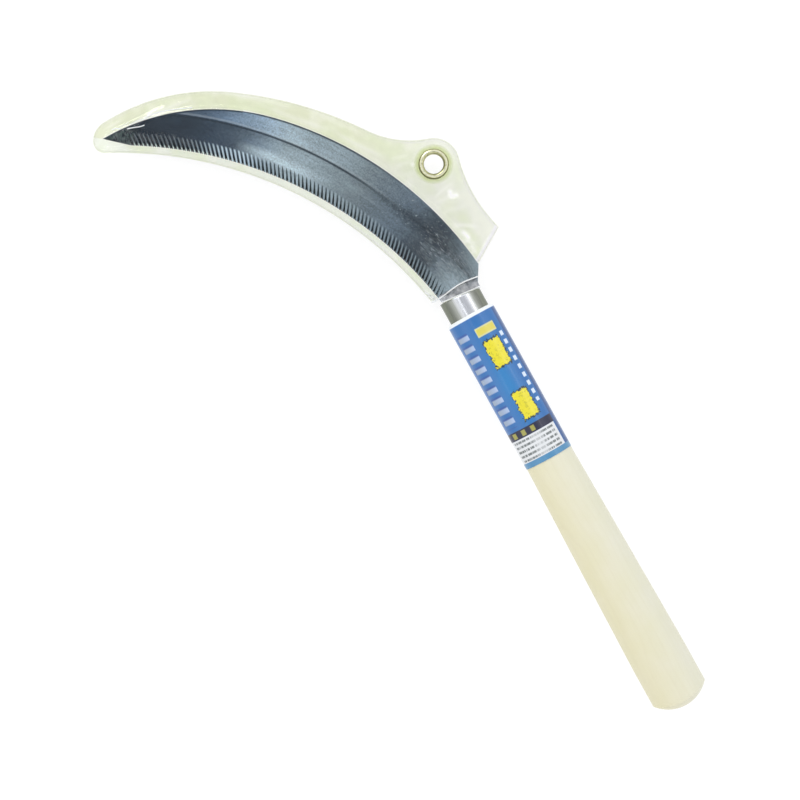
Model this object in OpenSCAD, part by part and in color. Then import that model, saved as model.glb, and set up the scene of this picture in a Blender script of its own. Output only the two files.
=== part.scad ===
// Serrated hand sickle: a toothed crescent blade on an oval wooden handle,
// with a welded two-film sheath that slides off along the blade's own curve.
// Millimetres. X runs along the handle towards the blade, Y towards the blade's
// tip, Z up. The sickle lies flat, and the origin is under the middle of its box.

/* [Blade] */
// Radius of the toothed inner edge
edge_r = 188.4; // [178:0.1:200]
// Angle that the edge spans from the ferrule to the plain tip, in degrees
edge_a = 50.7; // [46:0.1:53]
// Angle between the edge at the ferrule and the handle's axis
rake_a = 8.7; // [7:0.1:11]
// Distance from the handle's axis to the edge at the ferrule
heel_y = 8.4; // [7.6:0.1:8.8]
// Greatest width of the blade
blade_w = 26.5; // [25:0.1:28]
// Angle from the ferrule to the greatest width, in degrees
belly_a = 18.1; // [16:0.1:21]
// Radius of the blade's back
back_r = 171.9; // [166:0.1:177]
// Angle from the ferrule to where the back turns in to the tip, in degrees
back_a = 36.7; // [34:0.1:39]
// Length of the plain, untoothed edge at the tip
tip_flat = 13.2; // [10:0.1:16]
// Angle by which the plain edge turns outwards
tip_turn_a = 11.3; // [8:0.1:14]
// Thickness of the blade
blade_t = 1.5; // [1.2:0.1:2]
// Thickness left at the toothed edge
edge_t = 0.55; // [0.45:0.05:0.8]
// Distance from the ferrule to where the back turns in to the shoulder
shoulder_x = 9.3; // [8:0.1:11]
// Slope of the shoulder against the handle's axis
shoulder_a = 31.3; // [27:0.1:36]

/* [Grind] */
// Greatest width of the ground band beside the edge
grind_w = 16.3; // [14:0.1:18]
// Radius of the line where the grind begins
grind_r = 190.6; // [180:0.1:200]
// Angle from the ferrule to the grind's greatest width, in degrees
grind_a = 25.9; // [20:0.1:32]
// Step down from the blade's face to the grind
grind_step = 0.12; // [0.05:0.01:0.25]
// Length of edge at the ferrule left unground and untoothed
plain_heel = 3.5; // [2.5:0.1:8]

/* [Teeth] */
// Spacing of the tooth grooves along the edge
tooth_pitch = 1.98; // [1.7:0.01:3]
// Length of a tooth groove
tooth_l = 6; // [4:0.1:7.5]
// Lean of the grooves towards the tip, from square to the edge
tooth_lean = 26; // [10:1:32]
// How far a groove's root runs below the flat face at the edge
tooth_cut = 0.1; // [0.05:0.01:0.2]
// Slope of the groove's wall nearer the tip, from upright
tooth_steep = 42; // [30:1:46]
// Slope of the groove's wall nearer the handle, from upright
tooth_easy = 50; // [40:1:54]

/* [Tang] */
// Length of the tang inside the handle
tang_l = 88; // [60:1:120]
// Width of the tang at the ferrule
tang_w = 11; // [8:0.1:13]
// Width of the tang at its far end
tang_end = 5; // [3:0.1:7]
// Diameter of the pin through handle and tang
pin_d = 2.5; // [2:0.1:3.5]
// Distance of the pin from the ferrule's mouth
pin_x = 30; // [20:0.5:50]

/* [Handle] */
// Length of the handle from the ferrule's mouth to the butt
handle_l = 214; // [190:0.5:240]
// Width of the grip behind the ferrule
grip_w = 22.9; // [22:0.1:25]
// Width of the handle near the butt
butt_w = 26.9; // [25:0.1:30]
// Thickness of the grip behind the ferrule
grip_h = 18.8; // [18:0.1:20.5]
// Radius of the oval section's narrow sides at the grip
side_r = 7.5; // [7:0.1:8.5]
// Length of the butt that keeps its full width
butt_l = 25; // [15:0.5:40]
// Radius of the butt's domed end
butt_dome = 17.5; // [17:0.5:30]
// Rounding of the wood's shoulder behind the ferrule
shoulder_round = 0.8; // [0.4:0.1:1.2]

/* [Ferrule] */
// Length of the ferrule
ferrule_l = 9.1; // [8:0.1:16]
// Width of the ferrule
ferrule_w = 19.6; // [19:0.1:21]
// Thickness of the ferrule's sheet metal
ferrule_t = 0.7; // [0.5:0.1:1]
// Slant of the ferrule's mouth, in degrees
mouth_tilt = 5.8; // [3:0.1:8]

/* [Label] */
// Length of the printed sleeve behind the ferrule
label_l = 75; // [50:0.5:90]
// Thickness of the printed sleeve
label_t = 0.2; // [0.1:0.05:0.4]

/* [Sheath] */
// Thickness of each film
film_t = 0.5; // [0.3:0.05:0.7]
// Distance of the sheath's mouth from the ferrule's mouth
mouth_x = 4.1; // [3:0.1:6]
// Film that stands past the toothed edge
edge_margin = 3.7; // [3.4:0.1:5]
// Film that stands past the middle of the back
back_margin = 11.2; // [10.5:0.1:13]
// Sideways shift of the sheath's back arc towards the handle
film_shift = 8.9; // [8:0.1:10]
// Angle from the ferrule to where the sheath's back turns in to its nose, in degrees
film_a = 46.6; // [44:0.1:48]
// Radius of the sheath's nose
nose_r = 10.2; // [9.5:0.1:12]
// Distance of the nose's centre behind the blade's tip
nose_back = 5.7; // [4.5:0.1:7]
// Radius of the nose's inner corner
nose_corner_r = 5.4; // [4:0.1:7]
// Angle from the ferrule to the hanging eyelet, in degrees
eye_a = 13.5; // [12.5:0.1:15]
// Distance of the eyelet outside the blade's greatest width
eye_off = 15.8; // [15:0.1:18]
// Radius of the hanging tab round the eyelet
tab_r = 12.1; // [11:0.1:13]
// Radius of the hollow between the tab and the sheath's back
tab_hollow_r = 45; // [36:0.5:54]
// Radius of the hollow along the tab's side
side_hollow_r = 66; // [55:1:90]
// Angle from the ferrule to the tab's mouth corner, in degrees
corner_a = 3.1; // [2.8:0.1:3.8]
// Distance of the tab's mouth corner outside the greatest width
corner_off = 16.1; // [14:0.1:18]
// Run of film that slopes from the pocket down to the weld
ramp = 1.8; // [1.2:0.1:2]

/* [Eyelet] */
// Diameter of the eyelet's hole
eye_d = 9; // [7:0.1:10]
// Width of the eyelet's rolled rim
eye_rim = 2.5; // [2:0.1:3]
// Wall of the eyelet's barrel
eye_wall = 0.3; // [0.2:0.05:0.5]
// Width of the curl that clenches the eyelet at the back
eye_curl = 1.2; // [0.9:0.1:1.4]
// Thickness of the washer at the back
washer_t = 0.4; // [0.3:0.05:0.6]

/* [Clearances] */
// Play of each fixed fit, on each side
fit = 0.05; // [0.02:0.01:0.1]
// Play between the blade and the sheath in the blade's plane
film_gap = 0.4; // [0.3:0.05:0.6]
// Play between the blade's faces and the films
film_lift = 0.35; // [0.3:0.05:0.5]

/* [Hidden] */

fine = 360;            // facets on the large circles
small = 120;           // facets on the small ones
over = 1;              // how far a cutter runs past what it cuts
film_step = 3;         // spacing of points along the sheath's long arcs
hair = 0.02;           // how far one arc passes under the next where two arcs join
lap_a = 8;             // angle by which a slice of a disc reaches back under the one before

function dir(a) = [cos(a), sin(a)];
function bearing(v) = atan2(v.y, v.x);
function degrees_of(length, r) = length / r * 180 / PI;

// Where two circles meet, on the left (side 1) or right (side -1) of c1 to c2
function meet(c1, r1, c2, r2, side) =
    let (d = norm(c2 - c1), along = (d * d + r1 * r1 - r2 * r2) / (2 * d),
         across = sqrt(r1 * r1 - along * along), u = (c2 - c1) / d)
    c1 + along * u + side * across * [-u.y, u.x];

// Radius of an arc that leaves the circle round c1 at bearing a and ends by meeting
// the circle round c2 from inside; r2 is 0 where it ends in the point c2
function turn_radius(c1, r1, a, c2, r2) =
    let (v = c1 + r1 * dir(a) - c2) (v * v - r2 * r2) / (2 * (v * dir(a) - r2));

// Points along an arc after its first, about one every film_step, closer on a tight arc
function arc(c, r, a0, a1) =
    let (n = max(ceil(abs(a1 - a0) * PI / 180 * r / film_step), ceil(abs(a1 - a0) / 15)))
    [for (i = [1:n]) c + r * dir(a0 + (a1 - a0) * i / n)];

// Blade: every arc hangs on the edge's centre, and the edge on the ferrule's mouth
heel_a = rake_a - 90;
heel = [heel_y * tan(mouth_tilt), heel_y];
edge_c = heel - edge_r * dir(heel_a);
back_c = edge_c + (edge_r + blade_w - back_r) * dir(heel_a + belly_a);
sweep_r = edge_r + blade_w;
last_a = heel_a + edge_a;
flat_start = edge_c + edge_r * dir(last_a);
flat_a = last_a + 90 - tip_turn_a;
tip = flat_start + tip_flat * dir(flat_a);
back_turn_a = heel_a + back_a;
tip_r = turn_radius(back_c, back_r, back_turn_a, tip, 0);
tip_c = back_c + (back_r - tip_r) * dir(back_turn_a);
tip_a = bearing(tip - edge_c);
shoulder = [shoulder_x, back_c.y - sqrt(pow(back_r, 2) - pow(shoulder_x - back_c.x, 2))];

// Grind and teeth
grind_c = edge_c + (edge_r + grind_w - grind_r) * dir(heel_a + grind_a);
grind_from = edge_c + edge_r * dir(heel_a + degrees_of(plain_heel, edge_r));
grind_slope = (blade_t - grind_step - edge_t) / grind_w;
tooth_step = degrees_of(tooth_pitch, edge_r);
tooth_n = floor((edge_a - degrees_of(plain_heel, edge_r)) / tooth_step);
root_z = -blade_t / 2 - tooth_cut;
groove_end_z = -blade_t / 2 + edge_t + grind_slope * tooth_l * cos(tooth_lean);
tooth_climb = atan((groove_end_z - root_z) / tooth_l);

// Handle
// The section is an oval of four arcs: two narrow ones at the sides and two wide
// ones above and below, which pass under the narrow ones by a hair so that they
// cross cleanly. It grows and shrinks evenly all round, so each arc keeps its
// centre along the whole handle, and a width sets how far it has grown.
side_off = grip_w / 2 - side_r;
flat_part = grip_h / 2 - side_r + hair;
wide_off = (side_off * side_off - flat_part * flat_part) / (2 * flat_part);
wide_r = grip_h / 2 + wide_off;
join_a = atan2(side_off, wide_off);
function grown(width) = (width - grip_w) / 2;
lift = grip_h / 2 + grown(butt_w);
taper_x = ferrule_l + label_l;
pin_l = grip_h - 2 * fit;

// Sheath
film_back_r = back_r + back_margin;
film_back_c = back_c - [film_shift, film_shift * 2 / 3];
nose_c = tip - nose_back * dir(flat_a);
film_turn_a = heel_a + film_a;
film_tip_r = turn_radius(film_back_c, film_back_r, film_turn_a, nose_c, nose_r);
film_tip_c = film_back_c + (film_back_r - film_tip_r) * dir(film_turn_a);
film_edge_r = edge_r - edge_margin;
nose_corner_c = meet(edge_c, film_edge_r + nose_corner_r, nose_c, nose_r - nose_corner_r, 1);
eye = edge_c + (sweep_r + eye_off) * dir(heel_a + eye_a);
corner = edge_c + (sweep_r + corner_off) * dir(heel_a + corner_a);
hollow_c = meet(eye, tab_r + tab_hollow_r, film_back_c, film_back_r + tab_hollow_r, -1);
side_c = meet(eye, tab_r + side_hollow_r, corner, side_hollow_r, 1);
mouth_back_y = shoulder.y + (shoulder_x - mouth_x) * tan(shoulder_a);
mouth_edge_a = -acos((mouth_x - edge_c.x) / film_edge_r);
pocket_h = blade_t / 2 + film_lift;

outline = concat(
    [edge_c + film_edge_r * dir(mouth_edge_a)],
    arc(edge_c, film_edge_r, mouth_edge_a, bearing(nose_corner_c - edge_c)),
    arc(nose_corner_c, nose_corner_r, bearing(edge_c - nose_corner_c),
        bearing(nose_corner_c - nose_c)),
    arc(nose_c, nose_r, bearing(nose_corner_c - nose_c), bearing(nose_c - film_tip_c)),
    arc(film_tip_c, film_tip_r, bearing(nose_c - film_tip_c), film_turn_a),
    arc(film_back_c, film_back_r, film_turn_a, bearing(hollow_c - film_back_c)),
    arc(hollow_c, tab_hollow_r, bearing(film_back_c - hollow_c), bearing(eye - hollow_c)),
    arc(eye, tab_r, bearing(hollow_c - eye), bearing(side_c - eye)),
    arc(side_c, side_hollow_r, bearing(eye - side_c), bearing(corner - side_c)),
    [shoulder, [mouth_x, mouth_back_y]]);

// The whole sickle's box, from the butt to the sheath, sets the origin
high_x = max([for (p = outline) p.x]);
low_y = min([for (p = outline) p.y]);
high_y = max([for (p = outline) p.y]);
middle = [(high_x - handle_l) / 2, (low_y + high_y) / 2];

echo(edge_centre = edge_c - middle, eyelet = eye - middle, lift = lift, middle = middle);
echo(tip = tip, shoulder = shoulder, teeth = tooth_n, reach = [high_x, low_y, high_y]);

// Moves a piece drawn about the handle's axis to its place on the ground
module placed() translate([-middle.x, -middle.y, lift]) children();

// The handle's oval, turned arc by arc from one profile of [growth, distance from
// the mouth]; its own Z runs from the ferrule's mouth towards the butt
module oval_turned(profile) rotate([0, -90, 0]) for (side = [-1, 1]) {
    arc_turned([0, side * side_off], side_r, 0, 360, profile);
    arc_turned([-side * wide_off, 0], wide_r, side * 90 - 90 - join_a, 2 * join_a, profile);
}
module arc_turned(centre, r, from, turn, profile)
    translate(centre) rotate_extrude(start = from, angle = turn, $fn = small)
        polygon([for (p = profile) [max(r + p[0], 0), p[1]]]);
function block(growth, from, to) = [[-butt_w, from], [growth, from], [growth, to], [-butt_w, to]];

// All that lies in front of the ferrule's slanted mouth, moved forward by ahead
module past_mouth(ahead)
    rotate(-mouth_tilt)
        translate([ahead, -butt_w, -butt_w]) cube([butt_w, 2 * butt_w, 2 * butt_w]);

// A slice of a disc about c, its wall sloping from r_low up to r_top
module slice(c, r_low, r_top, a0, a1, h)
    translate(c) rotate_extrude(start = a0, angle = a1 - a0, $fn = fine)
        polygon([[0, 0], [r_low, 0], [r_top, h], [0, h]]);

// The tang in plan, grown by play on every side
module tang_plan(play) {
    front = plain_heel;
    polygon([[front, tang_w / 2 + play], [0, tang_w / 2 + play],
             [-tang_l - play, tang_end / 2 + play], [-tang_l - play, -tang_end / 2 - play],
             [0, -tang_w / 2 - play], [front, -tang_w / 2 - play]]);
}

// The crescent in plan, one sheet thick, without its teeth
module crescent() difference() {
    union() {
        slice(back_c, back_r, back_r, heel_a - 20, back_turn_a, blade_t);
        slice(tip_c, tip_r - hair, tip_r - hair, back_turn_a - lap_a, bearing(tip - tip_c) + 10,
              blade_t);
    }
    translate([edge_c.x, edge_c.y, -over]) cylinder(h = blade_t + 2 * over, r = edge_r, $fn = fine);
    // plain edge at the tip
    translate([flat_start.x, flat_start.y, -over]) rotate(flat_a)
        translate([-over, 0, 0]) cube([3 * tip_flat, tip_flat, blade_t + 2 * over]);
    // shoulder at the back
    translate([shoulder.x, shoulder.y, -over]) rotate(180 - shoulder_a)
        cube([2 * blade_w, blade_w, blade_t + 2 * over]);
    // foot, resting on the ferrule's slanted mouth
    translate([0, 0, -over]) rotate(-mouth_tilt)
        translate([fit - 3 * blade_w, -2 * blade_w, 0])
            cube([3 * blade_w, 4 * blade_w, blade_t + 2 * over]);
}

// The grind: a shallow cone that falls from the grind line to the edge
module grind() {
    reach = 2 * grind_w;
    top = blade_t / 2;
    begin = bearing(grind_from - grind_c);
    translate(grind_c)
        rotate_extrude(start = begin, angle = tip_a + 25 - begin, $fn = fine)
            polygon([[grind_r, top - grind_step], [grind_r, top + over], [grind_r - reach, top + over],
                     [grind_r - reach, top - grind_step - reach * grind_slope]]);
}

// One tooth groove: a leaning V that starts under the edge and runs out in the face
module groove(a) {
    deep = 2 * blade_t;
    translate(edge_c) rotate(a) translate([edge_r, 0, root_z]) rotate(tooth_lean)
        rotate([0, -tooth_climb, 0]) translate([-2 * over, 0, 0]) rotate([90, 0, 90])
            linear_extrude(tooth_l + 4 * over)
                polygon([[0, 0], [deep * tan(tooth_steep), deep], [-deep * tan(tooth_easy), deep]]);
}

module blade() color("slategray") placed() difference() {
    union() {
        translate([0, 0, -blade_t / 2]) crescent();
        translate([0, 0, -blade_t / 2]) linear_extrude(blade_t) tang_plan(0);
    }
    grind();
    for (i = [0:tooth_n - 1]) groove(last_a - (i + 0.5) * tooth_step);
    translate([-pin_x, 0, -blade_t]) cylinder(h = 2 * blade_t, d = pin_d + 2 * fit, $fn = small);
}

module ferrule() color("silver") placed() difference() {
    oval_turned(block(grown(ferrule_w), -ferrule_l, ferrule_l));
    oval_turned(block(grown(ferrule_w) - ferrule_t, -ferrule_l - over, ferrule_l + over));
    past_mouth(0);
}

// Outline of the wood, from the spigot inside the ferrule to the butt
function swell(t) = 1.1 * t - 0.1 * t * t;
function wood() =
    let (spigot = grown(ferrule_w) - ferrule_t - fit, butt = grown(butt_w), foot = ferrule_l + fit,
         body = handle_l - butt_l - taper_x)
    concat([[-butt_w, -ferrule_l], [spigot, -ferrule_l], [spigot, foot]],
        [for (a = [0:30:90]) [-shoulder_round * (1 - sin(a)), foot + shoulder_round * (1 - cos(a))]],
        [for (i = [0:6]) [butt * swell(i / 6), taper_x + body * i / 6]],
        [[butt, handle_l], [-butt_w, handle_l]]);

module handle() color("blanchedalmond") placed() difference() {
    oval_turned(wood());
    // domed butt
    rotate([0, -90, 0]) translate([0, 0, handle_l - butt_dome]) rotate_extrude($fn = small)
        polygon(concat([for (a = [0:6:54]) butt_dome * [sin(a), cos(a)]],
            [[butt_w, 0], [butt_w, butt_dome + over], [0, butt_dome + over]]));
    past_mouth(-fit);
    translate([0, 0, -blade_t / 2 - fit]) linear_extrude(blade_t + 2 * fit) tang_plan(fit);
    translate([-pin_x, 0, -butt_w]) cylinder(h = 2 * butt_w, d = pin_d + 2 * fit, $fn = small);
}

module tang_pin() color("gray") placed()
    translate([-pin_x, 0, -pin_l / 2]) cylinder(h = pin_l, d = pin_d, $fn = small);

module label() color("royalblue") placed() difference() {
    oval_turned(block(fit + label_t, ferrule_l + fit + shoulder_round, taper_x));
    oval_turned(block(fit, 0, taper_x + over));
}

// The space that the films leave for the blade, grown by film on every side.
// Near the mouth its outer wall keeps to one radius about the edge's centre, so
// that the blade's widest part passes it as the sheath turns off the blade.
module pocket(film, h) {
    gap = film_gap + film;
    foot = gap + ramp;
    far_a = heel_a - 15;
    difference() {
        union() {
            slice(edge_c, sweep_r + foot, sweep_r + gap, far_a, heel_a + belly_a, h);
            slice(back_c, back_r - hair + foot, back_r - hair + gap, heel_a + belly_a - lap_a,
                  back_turn_a, h);
            slice(tip_c, tip_r - 2 * hair + foot, tip_r - 2 * hair + gap, back_turn_a - lap_a,
                  bearing(tip - tip_c) + 15, h);
        }
        translate([edge_c.x, edge_c.y, -over]) cylinder(h = h + 2 * over, $fn = fine,
            r1 = edge_r - foot - over * ramp / h, r2 = edge_r - gap + over * ramp / h);
        // end wall past the blade's tip
        translate([edge_c.x, edge_c.y, 0]) rotate(tip_a) translate([edge_r - 3 * nose_r, 0, 0])
            rotate([90, 0, 90]) linear_extrude(6 * nose_r)
                polygon([[foot + over * ramp / h, -over], [gap - over * ramp / h, h + over],
                         [6 * nose_r, h + over], [6 * nose_r, -over]]);
    }
}

// One film: flat where it is welded, raised over the blade
module film() difference() {
    union() {
        linear_extrude(film_t) polygon(outline);
        intersection() {
            pocket(film_t, pocket_h + film_t);
            linear_extrude(pocket_h + film_t) polygon(outline);
        }
    }
    translate([0, 0, -fit / 5]) pocket(0, pocket_h);
    translate([eye.x, eye.y, -over])
        cylinder(h = film_t + 2 * over, d = eye_d + 2 * (eye_wall + fit), $fn = small);
}

module sheath_front() color("beige", 0.6) placed() film();
module sheath_back() color("beige", 0.6) placed() mirror([0, 0, 1]) film();

// Outline of the eyelet: a rolled rim, the barrel, and the curl at the back
function half_round(r, half, z, up) =
    [for (a = [0:15:180]) [r + half - half * cos(a), z + up * half * sin(a)]];
module eyelet() color("darkkhaki") placed() translate(eye) rotate_extrude($fn = small) {
    hole = eye_d / 2;
    under = -film_t - washer_t - fit;
    polygon(concat(half_round(hole, eye_rim / 2, film_t + fit, 1),
        [[hole + eye_wall, film_t + fit], [hole + eye_wall, under]],
        [for (a = [180:-15:0])
            [hole + eye_curl / 2 - eye_curl / 2 * cos(a), under - eye_curl / 2 * sin(a)]]));
}

module eyelet_washer() color("darkkhaki") placed()
    translate([eye.x, eye.y, -film_t - washer_t]) difference() {
        cylinder(h = washer_t, d = eye_d + 2 * eye_rim, $fn = small);
        translate([0, 0, -over])
            cylinder(h = washer_t + 2 * over, d = eye_d + 2 * (eye_wall + fit), $fn = small);
    }

blade();
ferrule();
handle();
tang_pin();
label();
sheath_front();
sheath_back();
eyelet();
eyelet_washer();
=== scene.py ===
"""Looks of a serrated hand sickle in its clear sheath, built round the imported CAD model.

Lengths are in millimetres in the functions and in metres in the meshes.
X runs along the handle towards the blade, Y towards the blade's tip, Z up.
"""
import math

import bmesh
import bpy
import numpy as np
from mathutils import Matrix, Vector
from mathutils.geometry import delaunay_2d_cdt


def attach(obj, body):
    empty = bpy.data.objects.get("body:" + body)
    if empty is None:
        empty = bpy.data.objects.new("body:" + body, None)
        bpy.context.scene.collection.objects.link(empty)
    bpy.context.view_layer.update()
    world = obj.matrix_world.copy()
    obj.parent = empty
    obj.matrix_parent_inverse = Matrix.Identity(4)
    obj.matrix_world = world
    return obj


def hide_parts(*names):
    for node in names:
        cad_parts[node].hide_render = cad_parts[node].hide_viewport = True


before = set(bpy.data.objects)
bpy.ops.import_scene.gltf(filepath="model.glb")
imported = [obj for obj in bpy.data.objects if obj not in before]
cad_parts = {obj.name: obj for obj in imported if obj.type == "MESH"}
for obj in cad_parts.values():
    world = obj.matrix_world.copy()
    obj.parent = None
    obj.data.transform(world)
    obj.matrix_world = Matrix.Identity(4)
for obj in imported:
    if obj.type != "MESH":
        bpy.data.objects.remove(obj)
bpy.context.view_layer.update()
MM = 0.001


# Plan of the blade and the sheath, as in the part's source


def toward(angle):
    """Unit vector at a bearing in degrees."""
    return np.array([math.cos(math.radians(angle)), math.sin(math.radians(angle))])


def bearing(vector):
    return math.degrees(math.atan2(vector[1], vector[0]))


def meet(c1, r1, c2, r2, side):
    """Where two circles meet, left (1) or right (-1) of the line from c1 to c2."""
    apart = c2 - c1
    d = float(np.hypot(*apart))
    along = (d * d + r1 * r1 - r2 * r2) / (2 * d)
    across = math.sqrt(r1 * r1 - along * along)
    u = apart / d
    return c1 + along * u + side * across * np.array([-u[1], u[0]])


def turn_radius(c1, r1, angle, c2, r2):
    """Radius of the arc that leaves circle 1 at a bearing and ends inside circle 2."""
    v = c1 + r1 * toward(angle) - c2
    return (v @ v - r2 * r2) / (2 * (v @ toward(angle) - r2))


# the handle's axis and its height over the ground, the oval grip, and the ferrule on it
AXIS_Y, LIFT = -41.215, 11.4
GRIP_W, GRIP_H, GRIP_SIDE_R, HAIR = 22.9, 18.8, 7.5, 0.02
FERRULE_W = 19.6
MOUTH_X, MOUTH_TILT = 32.0495, 5.8
SLANT = math.tan(math.radians(MOUTH_TILT))
# the toothed edge's arc, the back's two arcs, the cone of the grind, the teeth and the tip's flat
EDGE_R, HEEL_A, EDGE_A = 188.4, 8.7 - 90, 50.7
BLADE_W, BELLY_A, BACK_R, BACK_A = 26.5, 18.1, 171.9, 36.7
GRIND_R, GRIND_W, GRIND_A = 190.6, 16.3, 25.9
TOOTH_PITCH, TOOTH_L, TOOTH_LEAN = 1.98, 6.0, 26.0
TIP_FLAT, TIP_TURN = 13.2, 11.3

ferrule_mouth = np.array([MOUTH_X, AXIS_Y])
heel = ferrule_mouth + [8.4 * SLANT, 8.4]
edge_c = heel - EDGE_R * toward(HEEL_A)
sweep_r = EDGE_R + BLADE_W
back_c = edge_c + (sweep_r - BACK_R) * toward(HEEL_A + BELLY_A)
last_a = HEEL_A + EDGE_A
flat_a = last_a + 90 - TIP_TURN
tip = edge_c + EDGE_R * toward(last_a) + TIP_FLAT * toward(flat_a)
back_turn_a = HEEL_A + BACK_A
tip_r = turn_radius(back_c, BACK_R, back_turn_a, tip, 0)
tip_c = back_c + (BACK_R - tip_r) * toward(back_turn_a)
grind_c = edge_c + (EDGE_R + GRIND_W - GRIND_R) * toward(HEEL_A + GRIND_A)
tip_a = bearing(tip - edge_c)

# the films' outline: the blade's arcs grown, the nose round the tip, the hanging tab and the mouth
NOSE_R, NOSE_CORNER_R = 10.2, 5.4
TAB_R, TAB_HOLLOW_R, TAB_SIDE_R = 12.1, 45, 66
EYE_HOLE_R = 4.85
film_edge_r = EDGE_R - 3.7
film_back_r = BACK_R + 11.2
film_back_c = back_c - [8.9, 8.9 * 2 / 3]
film_turn_a = HEEL_A + 46.6
nose_c = tip - 5.7 * toward(flat_a)
film_tip_r = turn_radius(film_back_c, film_back_r, film_turn_a, nose_c, NOSE_R)
film_tip_c = film_back_c + (film_back_r - film_tip_r) * toward(film_turn_a)
nose_corner_c = meet(edge_c, film_edge_r + NOSE_CORNER_R, nose_c, NOSE_R - NOSE_CORNER_R, 1)
eye = edge_c + (sweep_r + 15.8) * toward(HEEL_A + 13.5)
tab_corner = edge_c + (sweep_r + 16.1) * toward(HEEL_A + 3.1)
hollow_c = meet(eye, TAB_R + TAB_HOLLOW_R, film_back_c, film_back_r + TAB_HOLLOW_R, -1)
side_c = meet(eye, TAB_R + TAB_SIDE_R, tab_corner, TAB_SIDE_R, 1)
shoulder = ferrule_mouth + [9.3, -14.75]
mouth_line_x = MOUTH_X + 4.1
mouth_back = np.array([mouth_line_x, shoulder[1] + 5.2 * math.tan(math.radians(31.3))])
mouth_edge_a = -math.degrees(math.acos((mouth_line_x - edge_c[0]) / film_edge_r))
mouth_first = edge_c + film_edge_r * toward(mouth_edge_a)


def arc(centre, r, a0, a1, step):
    """Points along an arc after its first, about one every step."""
    n = max(math.ceil(abs(math.radians(a1 - a0)) * r / step), math.ceil(abs(a1 - a0) / 12))
    return [centre + r * toward(a0 + (a1 - a0) * i / n) for i in range(1, n + 1)]


def straight(start, end, step):
    n = max(math.ceil(float(np.hypot(*(end - start))) / step), 1)
    return [start + (end - start) * i / n for i in range(1, n + 1)]


def film_outline(step):
    """The cut edge of the sheath's films, clockwise from the mouth at the toothed side."""
    points = [mouth_first]
    for turn in (
            (edge_c, film_edge_r, mouth_edge_a, bearing(nose_corner_c - edge_c)),
            (nose_corner_c, NOSE_CORNER_R, bearing(edge_c - nose_corner_c),
             bearing(nose_corner_c - nose_c)),
            (nose_c, NOSE_R, bearing(nose_corner_c - nose_c), bearing(nose_c - film_tip_c)),
            (film_tip_c, film_tip_r, bearing(nose_c - film_tip_c), film_turn_a),
            (film_back_c, film_back_r, film_turn_a, bearing(hollow_c - film_back_c)),
            (hollow_c, TAB_HOLLOW_R, bearing(film_back_c - hollow_c), bearing(eye - hollow_c)),
            (eye, TAB_R, bearing(hollow_c - eye), bearing(side_c - eye)),
            (side_c, TAB_SIDE_R, bearing(eye - side_c), bearing(tab_corner - side_c))):
        points += arc(*turn, step)
    points += straight(points[-1], shoulder, step)
    points += straight(shoulder, mouth_back, step)
    points += straight(mouth_back, mouth_first, step)[:-1]
    return np.array(points)


def inside(points, loop):
    """Which points lie inside a closed loop."""
    x, y = points[:, :1], points[:, 1:]
    a, b = loop, np.roll(loop, -1, axis=0)
    crosses = (a[:, 1] > y) != (b[:, 1] > y)
    run = np.where(b[:, 1] == a[:, 1], 1, b[:, 1] - a[:, 1])
    at = a[:, 0] + (y - a[:, 1]) * (b[:, 0] - a[:, 0]) / run
    return (crosses & (x < at)).sum(1) % 2 == 1


def distance_to_segments(points, a, b):
    """Least distance from each point to any of the segments a to b."""
    best = np.full(len(points), 1e9)
    for start, end in zip(a, b):
        run = end - start
        t = np.clip(((points - start) @ run) / max(run @ run, 1e-12), 0, 1)
        away = points - start - t[:, None] * run
        best = np.minimum(best, np.hypot(away[:, 0], away[:, 1]))
    return best


def distance_to_loop(points, loop):
    return distance_to_segments(points, loop, np.roll(loop, -1, axis=0))


def smooth_step(t):
    t = np.clip(t, 0, 1)
    return t * t * (3 - 2 * t)


# Sheath films

UPPER, LOWER = 1, -1
# the solids' film and pocket, and the shell that is seen in their place
RAMP, FILM_T, POCKET_H = 1.8, 0.5, 1.1
SHELL_T, LIP_T, SETTLED = 0.32, 0.25, 0.16
HEM_W = 2.2
CELL, RIM_STEP = 0.85, 0.8


def pocket_depth(points):
    """How far each point lies inside the pocket that holds the blade, in millimetres."""
    from_edge = points - edge_c
    r = np.hypot(from_edge[:, 0], from_edge[:, 1])
    a = np.degrees(np.arctan2(from_edge[:, 1], from_edge[:, 0])) - HEEL_A
    reach = 0.4 + RAMP
    toothed = r - (EDGE_R - reach)
    from_back, from_tip = points - back_c, points - tip_c
    at_back = BACK_R + reach - np.hypot(from_back[:, 0], from_back[:, 1])
    at_tip = tip_r + reach - np.hypot(from_tip[:, 0], from_tip[:, 1])
    turned = np.degrees(np.arctan2(from_back[:, 1], from_back[:, 0])) > back_turn_a
    behind = np.where(a < BELLY_A, sweep_r + reach - r, np.where(turned, at_tip, at_back))
    past_tip = np.array([-math.sin(math.radians(tip_a)), math.cos(math.radians(tip_a))])
    return np.minimum(np.minimum(toothed, behind), reach - from_edge @ past_tip)


def along_blade(angle, off):
    """A point at an angle from the ferrule and a distance outside the toothed edge."""
    return edge_c + (EDGE_R + off) * toward(HEEL_A + angle)


def crease(points, start, end, width, height, bend):
    """A soft ridge from start to end, both given as along_blade takes them."""
    start, end = along_blade(*start), along_blade(*end)
    run = end - start
    length = float(np.hypot(*run))
    u = run / length
    t = ((points - start) @ u) / length
    side = (points - start) @ np.array([-u[1], u[0]]) - bend * 4 * t * (1 - t)
    fade = smooth_step((t + 0.02) / 0.35) * smooth_step((1.02 - t) / 0.35)
    return height * fade * np.exp(-((side / width) ** 2))


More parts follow.
